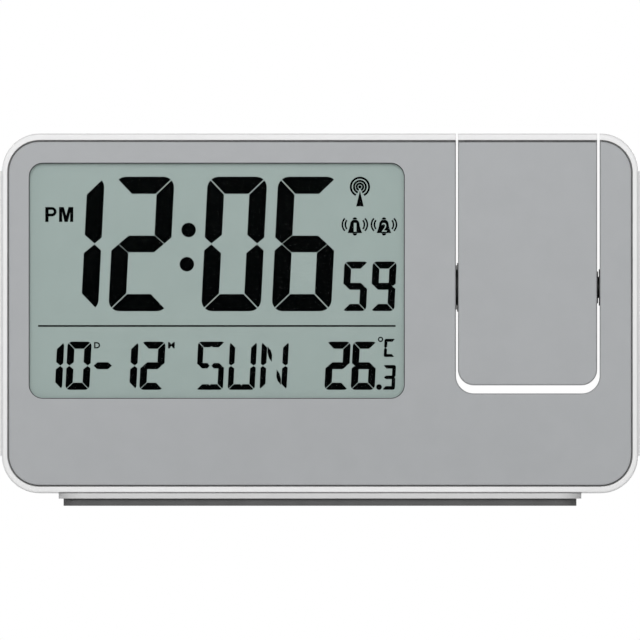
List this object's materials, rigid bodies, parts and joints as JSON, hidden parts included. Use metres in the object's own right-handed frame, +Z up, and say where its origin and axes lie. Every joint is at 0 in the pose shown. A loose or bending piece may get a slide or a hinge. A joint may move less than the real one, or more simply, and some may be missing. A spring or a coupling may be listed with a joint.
{
  "type": "projection alarm clock",
  "caption": "Slim bedside alarm clock with an LCD window and a projector arm that tilts in a notch, on a two-step foot.",
  "frame": {"origin": "middle of the foot's underside, at the foot of the whole object's box", "axes": "+X to the right seen from the front, +Y to the back, +Z up; the LCD faces -Y"},
  "size_m": [0.15, 0.038, 0.0872],
  "materials": {
    "white_shell": "white satin plastic",
    "grey_face": "silver-grey matt face",
    "clear_window": "clear polished window",
    "lcd_glass": "grey-green reflective LCD",
    "lens_glass": "clear polished lens",
    "black_plastic": "black matt plastic",
    "light_plastic": "milky plastic",
    "circuit_board": "green solder mask",
    "foot_light": "light grey plastic",
    "foot_rubber": "dark rubber",
    "silicone": "contact rubber",
    "steel": "plated steel",
    "brass": "brass",
    "copper": "enamelled copper winding",
    "ferrite": "dark ferrite",
    "cell_jacket": "plain blue jacket",
    "led_body": "tinted LED",
    "lead_jacket": "soft lead jacket",
    "key_plastic": "grey keys"
  },
  "bodies": {
    "housing": {"housing_shell": "white_shell", "front_panel": "grey_face", "display_window": "clear_window", "lcd_panel": "lcd_glass", "lcd_frame": "black_plastic", "light_guide": "light_plastic", "backlight_leds": "light_plastic", "zebra_strip": "silicone", "main_board": "circuit_board", "board_screws": "steel", "clock_chip": "black_plastic", "quartz_crystal": "steel", "ferrite_rod": "ferrite", "antenna_coil": "copper", "buzzer": "brass", "rear_cover": "white_shell", "rear_screws": "steel", "key_board": "circuit_board", "key_switches": "black_plastic", "slide_switch": "steel", "snooze_switch": "black_plastic", "ribbon_cable": "lead_jacket", "battery_cells": "cell_jacket", "battery_spring": "steel", "battery_contact": "steel", "dc_jack": "black_plastic", "jack_pin": "steel", "power_lead": "lead_jacket", "projector_lead": "lead_jacket", "left_bush": "black_plastic", "right_bush": "black_plastic", "foot_plate": "foot_light", "foot_pad": "foot_rubber", "foot_screws": "steel"},
    "projector": {"arm_front_panel": "grey_face", "arm_shell": "white_shell", "arm_rear_cover": "white_shell", "arm_screws": "steel", "left_hub": "black_plastic", "right_hub": "black_plastic", "hub_clips": "steel", "lens_barrel": "black_plastic", "condenser_lens": "lens_glass", "projection_lcd": "lcd_glass", "projection_led": "led_body", "led_board": "circuit_board", "lead_connector": "light_plastic"},
    "focus": {"focus_ring": "black_plastic"},
    "lens": {"lens_cell": "black_plastic", "projection_lens": "lens_glass"},
    "snooze": {"snooze_bar": "white_shell"},
    "projection_knob": {"switch_knob": "black_plastic"},
    "battery_cover": {"battery_door": "white_shell"},
    "button_mode": {"key_mode": "key_plastic"},
    "button_plus": {"key_plus": "key_plastic"},
    "button_minus": {"key_minus": "key_plastic"},
    "button_alarm_1": {"key_alarm_1": "key_plastic"},
    "button_alarm_2": {"key_alarm_2": "key_plastic"},
    "button_receive": {"key_receive": "key_plastic"}
  },
  "joints": [
    {"name": "projector_tilt", "type": "hinge", "parent": "housing", "child": "projector", "pos_m": [0.04865, -0.001, 0.05119], "axis": [1, 0, 0], "range_deg": [-90, 90]},
    {"name": "focus_turn", "type": "hinge", "parent": "projector", "child": "focus", "pos_m": [0.04865, -0.001, 0.08724], "axis": [0, 0, 1], "range_deg": [-60, 60]},
    {"name": "lens_travel", "type": "slide", "parent": "projector", "child": "lens", "axis": [0, 0, 1], "range_m": [-0.000366, 0.000366]},
    {"name": "snooze_press", "type": "slide", "parent": "housing", "child": "snooze", "axis": [0, 0, -1], "range_m": [0, 0.0006], "stiffness_N_per_m": 800, "springref_m": -0.001},
    {"name": "projection_slide", "type": "slide", "parent": "housing", "child": "projection_knob", "axis": [1, 0, 0], "range_m": [0, 0.003]},
    {"name": "battery_door_hinge", "type": "hinge", "parent": "housing", "child": "battery_cover", "pos_m": [0, 0.0089, 0.00668], "axis": [-1, 0, 0], "range_deg": [0, 80]},
    {"name": "press_mode", "type": "slide", "parent": "housing", "child": "button_mode", "axis": [0, -1, 0], "range_m": [0, 0.0005], "stiffness_N_per_m": 600, "springref_m": -0.001},
    {"name": "press_plus", "type": "slide", "parent": "housing", "child": "button_plus", "axis": [0, -1, 0], "range_m": [0, 0.0005], "stiffness_N_per_m": 600, "springref_m": -0.001},
    {"name": "press_minus", "type": "slide", "parent": "housing", "child": "button_minus", "axis": [0, -1, 0], "range_m": [0, 0.0005], "stiffness_N_per_m": 600, "springref_m": -0.001},
    {"name": "press_alarm_1", "type": "slide", "parent": "housing", "child": "button_alarm_1", "axis": [0, -1, 0], "range_m": [0, 0.0005], "stiffness_N_per_m": 600, "springref_m": -0.001},
    {"name": "press_alarm_2", "type": "slide", "parent": "housing", "child": "button_alarm_2", "axis": [0, -1, 0], "range_m": [0, 0.0005], "stiffness_N_per_m": 600, "springref_m": -0.001},
    {"name": "press_receive", "type": "slide", "parent": "housing", "child": "button_receive", "axis": [0, -1, 0], "range_m": [0, 0.0005], "stiffness_N_per_m": 600, "springref_m": -0.001}
  ],
  "couplings": [
    {"joint": "focus_turn", "follows": "lens_travel", "rad_per_m": 2860}
  ]
}
